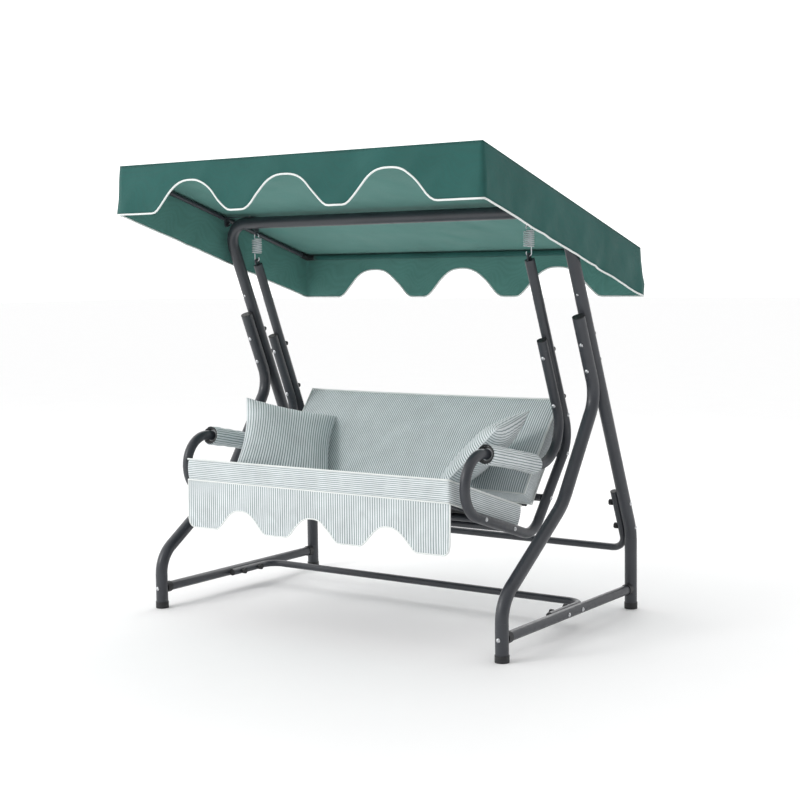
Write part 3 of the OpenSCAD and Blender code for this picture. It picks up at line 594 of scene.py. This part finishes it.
def arm_sleeve(side, seed):
    """A padded wrap on the arm, open at both ends. side is 1 on the right and -1 on the left."""
    hand = "right" if side > 0 else "left"
    name = "arm_sleeve_" + hand
    start = rest_axis(sleeve_from)
    length = float(np.linalg.norm(rest_axis(sleeve_to) - start))
    n_long, n_round = 44, 40
    outer, inner = sleeve_outer, sleeve_inner
    drawn_in_below, pressed_above = 5.5, 2.2
    mouth = [(11, inner), (9, inner + 4), (3.5, outer - 11), (0.6, outer - 7), (0, outer - 3.5)]
    profile = mouth + [(3 + (length - 6) * k / n_long, outer - 1.2) for k in range(n_long + 1)]
    profile += [(length - s, r) for s, r in mouth[::-1]]
    verts = []
    for row, (s, r_row) in enumerate(profile):
        share = s / length
        body = min(1.0, max(0.0, (r_row - inner) / (outer - 1.2 - inner)))
        for j in range(n_round):
            angle = 2 * math.pi * j / n_round
            up, out = math.cos(angle), math.sin(angle)
            r = r_row + (1.6 * ripple(share * 5, j / n_round * 4, seed, 0.5)
                         + 1.1 * math.sin(share * 34 + 4 * up)) * body
            r -= drawn_in_below * max(0, -up) ** 1.5 * math.sin(math.pi * share) ** 0.8 * body
            r -= pressed_above * max(0, up) * body
            r = max(inner, min(outer, r))
            ragged = 1.6 * noise.noise(Vector((j * 0.8, seed, row))) if r_row > outer - 9 else 0
            ragged = ragged if s < 8 or s > length - 8 else 0
            at = start + rest_dir * (s + ragged) + rest_up * up * r
            verts.append(place(side * (seat_x + out * r), *at))
    rows = len(profile) - 1
    faces = [face[::side] for face in tube_faces(rows, n_round)]
    middle_r = 38
    stripes_round = round(2 * math.pi * middle_r / stripe_pitch)
    stripe = [[c / n_round * stripes_round for c in (j, j, j + 1, j + 1)[::side]]
              for _ in range(rows) for j in range(n_round)]
    # The end faces, in the light stripe's colour
    faces.append(list(range(n_round))[::side])
    faces.append([rows * n_round + j for j in range(n_round)][::-side])
    stripe += [[0.25] * n_round] * 2
    piece = mesh_piece(name, verts, faces, stripe)
    smoothed(piece)
    finish_piece(piece, stripes, "cushion_cloth", "seat", "arm_pad_" + hand)
    sleeve_lining(name, side, start, seed)


def sleeve_lining(name, side, start, seed):
    """The ragged dark lining of the sleeve's fastening, in its front mouth."""
    around = 64
    profile = [(8.4, sleeve_inner + 2), (2.6, sleeve_outer - 11),
               (-0.9, sleeve_outer - 8), (-1.4, sleeve_outer - 5.5)]
    rows = len(profile) - 1
    verts = []
    for row, (s, r) in enumerate(profile):
        for j in range(around):
            angle = 2 * math.pi * j / around
            ragged = 2.4 * noise.noise(Vector((j * 0.9, row * 3.1, seed))) if row == rows else 0
            at = start + rest_dir * s + rest_up * math.cos(angle) * (r + ragged)
            verts.append(place(side * (seat_x + math.sin(angle) * (r + ragged)), *at))
    lining = mesh_piece(name + "_lining", verts, [face[::side] for face in tube_faces(rows, around)])
    thickened(lining, 0.8 * MM)
    finish_piece(lining, velcro, "cushion_cloth", "seat")


arm_sleeve(1, 41.0)
arm_sleeve(-1, 47.0)


# ---- Skirt ----

skirt_top = run_axis(pad_front)[1] + deck_off - 2
skirt_lobe, skirt_notch, skirt_pitch = 352.0, 80.0, 346.0
skirt_half = cushion_half - 2
skirt_arch = (0.74, 2.6, 2.2)


def scallop(x, low, notch, pitch, arch):
    """The lower edge's height: an arch at the middle and each pitch, plain lobes past the last.

    arch is its half-width as a share of half the pitch, and the two powers that shape its curve."""
    if abs(x) > 1.5 * pitch:
        return low
    reach, round_top, round_foot = arch
    away = 2 * abs((abs(x) / pitch + 0.5) % 1 - 0.5) / reach
    return low + notch * max(0.0, 1 - away ** round_top) ** round_foot


def rounded_end(x, end, radius):
    """How much a lobe's lower corner is rounded off at x, near its end."""
    into = max(0.0, x - (end - radius))
    return radius - math.sqrt(max(0.0, radius * radius - into * into))


def skirt():
    """A single cloth hung from the seat cushion's front, with three arches and rounded corners."""
    columns, rows = 246, 26
    height = skirt_top - skirt_lobe
    corner_r, fold_depth, cloth_t = 34, 3.2, 1.2
    verts = []
    for i in range(columns + 1):
        x = (2 * i / columns - 1) * skirt_half
        low = scallop(x, skirt_lobe, skirt_notch, skirt_pitch, skirt_arch)
        low += rounded_end(abs(x), skirt_half, corner_r)
        for j in range(rows + 1):
            s = j / rows
            z = skirt_top + (low - skirt_top) * s
            drop = (skirt_top - z) / height
            # Soft folds that deepen towards the free edge
            wave = math.sin(x / 19 + 2.6 * ripple(x, 0.2 * z, 2.0, 150)) * (0.6 + ripple(x, 0, 6.0, 90))
            wave += 0.7 * ripple(x, z, 4.0, 60)
            depth = pad_front + 2 - fold_depth * drop ** 1.3 * wave - 1.5 * drop
            verts.append(place(x, depth, z))
    stripe = [[c * 2 * cushion_half / columns / stripe_pitch for c in (i, i, i + 1, i + 1)]
              for i in range(columns) for _ in range(rows)]
    edge = verts[:rows + 1]
    edge += [verts[i * (rows + 1) + rows] for i in range(1, columns + 1)]
    edge += [verts[columns * (rows + 1) + j] for j in range(rows - 1, -1, -1)]
    piece = mesh_piece("seat_skirt_cloth", verts, grid_faces(columns, rows, down_first=True), stripe)
    thickened(piece, cloth_t * MM)
    finish_piece(piece, stripes, "cushion_cloth", "seat", "seat_skirt")
    hem = piping("skirt_piping", edge, 2.8 * MM, "seat", piping_cloth, False)


skirt()


# ---- Slings ----


def sling(name, node, line, half, sag):
    """A taut dark mesh. line gives a point at a share of its length and an offset, sag its dip."""
    columns, rows = 60, 30
    verts = []
    for i in range(columns + 1):
        u = i / columns
        for j in range(rows + 1):
            v = j / rows
            dip = sag * (1 - (2 * u - 1) ** 4) * math.sin(math.pi * v)
            verts.append(place((2 * u - 1) * half, *line(v, -dip)))
    piece = mesh_piece(name, verts, grid_faces(columns, rows))
    thickened(piece, 1.0 * MM)
    finish_piece(piece, sling_mesh, "sling_cloth", "seat", node)
    return piece


# The seat sling lies between the rods of its frame, and the back sling on its two tubes
sling_hem = 8.0
deck_front, deck_rear = -12.0, 420.0
deck_rod_lift, back_sling_lift = cross_r + 5.1, 16.1
seat_from = run_axis(deck_front) + run_up * deck_rod_lift + run_dir * sling_hem
seat_to = run_axis(deck_rear) + run_up * deck_rod_lift - run_dir * sling_hem
seat_sling = sling("seat_sling_cloth", "seat_sling",
                   lambda v, d: seat_from + (seat_to - seat_from) * v + run_up * d,
                   half=581, sag=3)
sling_from = back_axis(440) + back_out * back_sling_lift
sling_to = hang_knee - back_dir * 55 + back_out * back_sling_lift
back_sling = sling("back_sling_cloth", "back_sling",
                   lambda v, d: sling_from + (sling_to - sling_from) * v + back_out * d,
                   half=589, sag=0)


# ---- Canopy ----

canopy_half, canopy_front, canopy_rear = 828.0, -140.0, 1008.0
roof_tilt = math.radians(16.6)
# The roof's height over the tilt bolts, and their depth
roof_height, bolt_depth = 1586.0, 439.6
valance_h, valance_notch_h, valance_pitch = 186.0, 68.0, 456.0
valance_arch = (0.86, 2.6, 2.0)
# The top bar's bracket screws pass close under the cloth here, so it sags less
top_bar_depth = 440.0


def roof_z(depth):
    return roof_height - math.tan(roof_tilt) * (depth - bolt_depth)


def valance_drop(x):
    return valance_h - scallop(x, 0, valance_h - valance_notch_h, valance_pitch, valance_arch)


def canopy():
    """Roof and four valances as one sheet, held by the bars round its edge and slack between them."""
    half, front, rear = canopy_half - 1.5, canopy_front + 1.5, canopy_rear - 1.5
    length = rear - front
    nu, nv, nt = 116, 80, 12
    splay, crease_depth, cloth_t = 14.0, 6.0, 1.2
    keys, faces = lattice(nu, nv, nt, ("top", "front", "rear", "left", "right"))
    verts = []
    for i, j, k in keys:
        u, v, t = i / nu, j / nv, k / nt
        x, depth = (2 * u - 1) * half, front + length * v
        z = roof_z(depth) - 2.2
        if k == nt:
            # The roof's top: slack away from the bars, with crossing pulls
            near_edge = min(min(u, 1 - u) * 2 * half, min(v, 1 - v) * length)
            slack = rise(near_edge - 20, 130)
            pulls = (abs(math.sin((x + depth * 0.9) / 130 + 1.3 * ripple(x, depth, 7.0, 420)))
                     + abs(math.sin((x - depth * 0.9) / 150 + 1.3 * ripple(x, depth, 9.0, 420))))
            over_bar = math.exp(-((depth - top_bar_depth) / 90) ** 2)
            z -= (2.0 + 3.4 * pulls + 2.2 * ripple(x, depth, 5.0, 80)) * slack * (1 - 0.8 * over_bar)
        else:
            # A valance splays outwards all along, and its waves and creases grow towards its free edge
            across = j in (0, nv)
            drop = valance_drop(x) if across else valance_h
            hung = 1 - t
            z -= drop * hung
            at = x if across else depth
            wave = 5.2 * ripple(at, z * 0.3, 13.0 + 2 * across, 120) + 2.2 * ripple(at, z, 17.0, 52)
            crease = abs(math.sin((at + 0.9 * drop * hung) / 62 + 2.5 * ripple(at, 0, 23.0, 300)))
            out = (wave + splay - crease_depth * crease) * hung ** 0.9
            if across:
                depth += out * (-1 if j == 0 else 1)
            if i in (0, nu):
                x += out * (-1 if i == 0 else 1)
        verts.append(place(x, depth, z))
    piece = mesh_piece("canopy_cloth", verts, [f for _, f, _ in faces])
    where = dict(zip(keys, verts))
    edge, seam = ([where[key] for key in rim_keys(nu, nv, k)] for k in (0, nt))
    thickened(piece, cloth_t * MM)
    mark_painted_daylight(piece)
    finish_piece(piece, teal_cloth, "canopy_cloth", "canopy", "canopy_cover")
    hem = piping("canopy_piping", edge, 3.7 * MM, "canopy", piping_cloth)
    fold = piping("canopy_seam", seam, seam_r, "canopy", teal_cloth)
    pocket = bar_pocket()


def bar_pocket():
    """The sleeve sewn under the roof's rear edge, round the rear bar."""
    low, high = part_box("canopy_rear_bar")
    middle, radius = (low + high) / 2, (high.z - low.z) / 2 + 2 * MM
    columns, rows, clear = 60, 16, 30 * MM
    # The sleeve stops short of the roof on both sides of the bar
    start, sweep = 106, 295
    verts = []
    for i in range(columns + 1):
        x = low.x + clear + (high.x - low.x - 2 * clear) * i / columns
        for j in range(rows + 1):
            angle = math.radians(start + sweep * j / rows)
            puckered = radius + 0.8 * MM * ripple(x / MM, 40 * j, 31.0, 60)
            verts.append((x, middle.y + puckered * math.cos(angle),
                          middle.z + puckered * math.sin(angle)))
    pocket = mesh_piece("canopy_rear_pocket", verts, grid_faces(columns, rows))
    thickened(pocket, 1.0 * MM)
    finish_piece(pocket, teal_cloth, "canopy_cloth", "canopy")
    return pocket


def mark_painted_daylight(piece):
    """Marks the sheet's inner side, which gets painted light for the daylight that comes through the
    weave.
    """
    mesh = piece.data
    layer = mesh.attributes.new("inner", "FLOAT", "CORNER")
    far_below = 600
    middle = Vector(place(0, (canopy_front + canopy_rear) / 2, roof_z(MID_DEPTH) - far_below))
    values = [0.0] * len(mesh.loops)
    for face in mesh.polygons:
        inside = 1.0 if face.normal.dot(middle - face.center) > 0 else 0.0
        for loop in face.loop_indices:
            values[loop] = inside
    layer.data.foreach_set("value", values)


canopy()


# ---- Coil springs ----


def coil(node):
    """An open coil with its end turns drawn in to the hooks' stems."""
    turns, wire_r = 8, 1.7
    low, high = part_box(node)
    middle = (low + high) / 2
    ring_r = (high.x - low.x) / 2 - wire_r * MM
    top, bottom = high.z - wire_r * MM, low.z + wire_r * MM
    per_turn, around = 32, 10
    line = []
    lead = per_turn // 2
    count = turns * per_turn
    for k in range(-lead, count + lead + 1):
        angle = 2 * math.pi * k / per_turn
        share = min(1.0, max(0.0, k / count))
        over = max(0, -k, k - count) / lead
        r = ring_r * (1 - 0.9 * over ** 1.5)
        line.append(Vector((middle.x + r * math.cos(angle), middle.y + r * math.sin(angle),
                            top + (bottom - top) * share)))
    verts = []
    for k, here in enumerate(line):
        ahead, behind = line[min(k + 1, len(line) - 1)], line[max(k - 1, 0)]
        along = (ahead - behind).normalized()
        out = Vector((here.x - middle.x, here.y - middle.y, 0)).normalized()
        out = (out - along * out.dot(along)).normalized()
        side = along.cross(out)
        for m in range(around):
            angle = 2 * math.pi * m / around
            verts.append(here + (out * math.cos(angle) + side * math.sin(angle)) * wire_r * MM)
    faces = [[face[0]] + face[:0:-1] for face in tube_faces(len(line) - 1, around)]
    faces.append(list(range(around))[::-1])
    faces.append([(len(line) - 1) * around + m for m in range(around)])
    piece = mesh_piece(node + "_coil", verts, faces)
    finish_piece(piece, finishes["spring_steel"], "spring_steel", None, node)
    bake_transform(piece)


coil("spring_left")
coil("spring_right")


# ---- Floor, light and camera ----


def stage_floor():
    """A wide pale floor, half a millimetre under the feet."""
    reach = 60.0
    verts = [(x, y, -0.0005) for y in (-reach, reach) for x in (-reach, reach)]
    floor = mesh_piece("studio_floor", verts, [[0, 1, 3, 2]])
    s = Shader("pale_floor")
    tint = s.range(s.noise(3, 3), 0.3, 0.7)
    floor.data.materials.append(s.finish(
        s.mix(tint, (0.96, 0.96, 0.96, 1), (0.95, 0.95, 0.952, 1)), 0.9, Specular_IOR_Level=0.1))


def area_light(name, at, towards, size, power):
    data = bpy.data.lights.new(name, "AREA")
    data.shape = "DISK"
    data.size = size
    data.energy = power
    made = bpy.data.objects.new(name, data)
    made.location = at
    aim = Vector(towards) - Vector(at)
    made.rotation_euler = aim.to_track_quat("-Z", "Y").to_euler()
    bpy.context.scene.collection.objects.link(made)


def studio_world():
    """A soft white room, brightest to the bench's left and rear and darkest to its right."""
    world = bpy.data.worlds.new("studio")
    world.use_nodes = True
    tree = world.node_tree
    where = tree.nodes.new("ShaderNodeTexCoord")
    along = tree.nodes.new("ShaderNodeVectorMath")
    along.operation = "DOT_PRODUCT"
    towards_light = (-0.9, 0.43, 0)
    along.inputs[1].default_value = towards_light
    tree.links.new(where.outputs["Generated"], along.inputs[0])
    share = tree.nodes.new("ShaderNodeMapRange")
    for name, number in (("From Min", -0.9), ("From Max", 0.55), ("To Min", 0.45), ("To Max", 1.4)):
        share.inputs[name].default_value = number
    tree.links.new(along.outputs["Value"], share.inputs["Value"])
    tree.links.new(share.outputs[0], tree.nodes["Background"].inputs["Strength"])
    tree.nodes["Background"].inputs["Color"].default_value = (1, 1, 1, 1)
    bpy.context.scene.world = world


stage_floor()
studio_world()
area_light("key", (-3.2, -6.0, 4.0), (0, 0, 0.8), 2.4, 140)
area_light("back", (-1.0, 5.0, 4.5), (0, 0, 1.2), 3.0, 60)
bpy.context.scene.view_settings.view_transform = "Standard"

# The camera's lens, place and turn, as solved from the object in the photograph
camera_at = (3.43235, -4.74423, 1.33416)
azimuth, elevation, roll = (math.radians(a) for a in (35.243, 4.867, -0.770))
camera_data = bpy.data.cameras.new("camera")
camera_data.sensor_width = 36
camera_data.lens = 67.514
camera_data.clip_end = 200
camera = bpy.data.objects.new("camera", camera_data)
bpy.context.scene.collection.objects.link(camera)
ahead = Vector((-math.sin(azimuth) * math.cos(elevation),
                math.cos(azimuth) * math.cos(elevation), -math.sin(elevation)))
right = Vector((math.cos(azimuth), math.sin(azimuth), 0))
up = right.cross(ahead)
turned_right = right * math.cos(roll) + up * math.sin(roll)
turned_up = up * math.cos(roll) - right * math.sin(roll)
camera.matrix_world = Matrix((
    (turned_right.x, turned_up.x, -ahead.x, camera_at[0]),
    (turned_right.y, turned_up.y, -ahead.y, camera_at[1]),
    (turned_right.z, turned_up.z, -ahead.z, camera_at[2]),
    (0, 0, 0, 1)))
bpy.context.scene.camera = camera
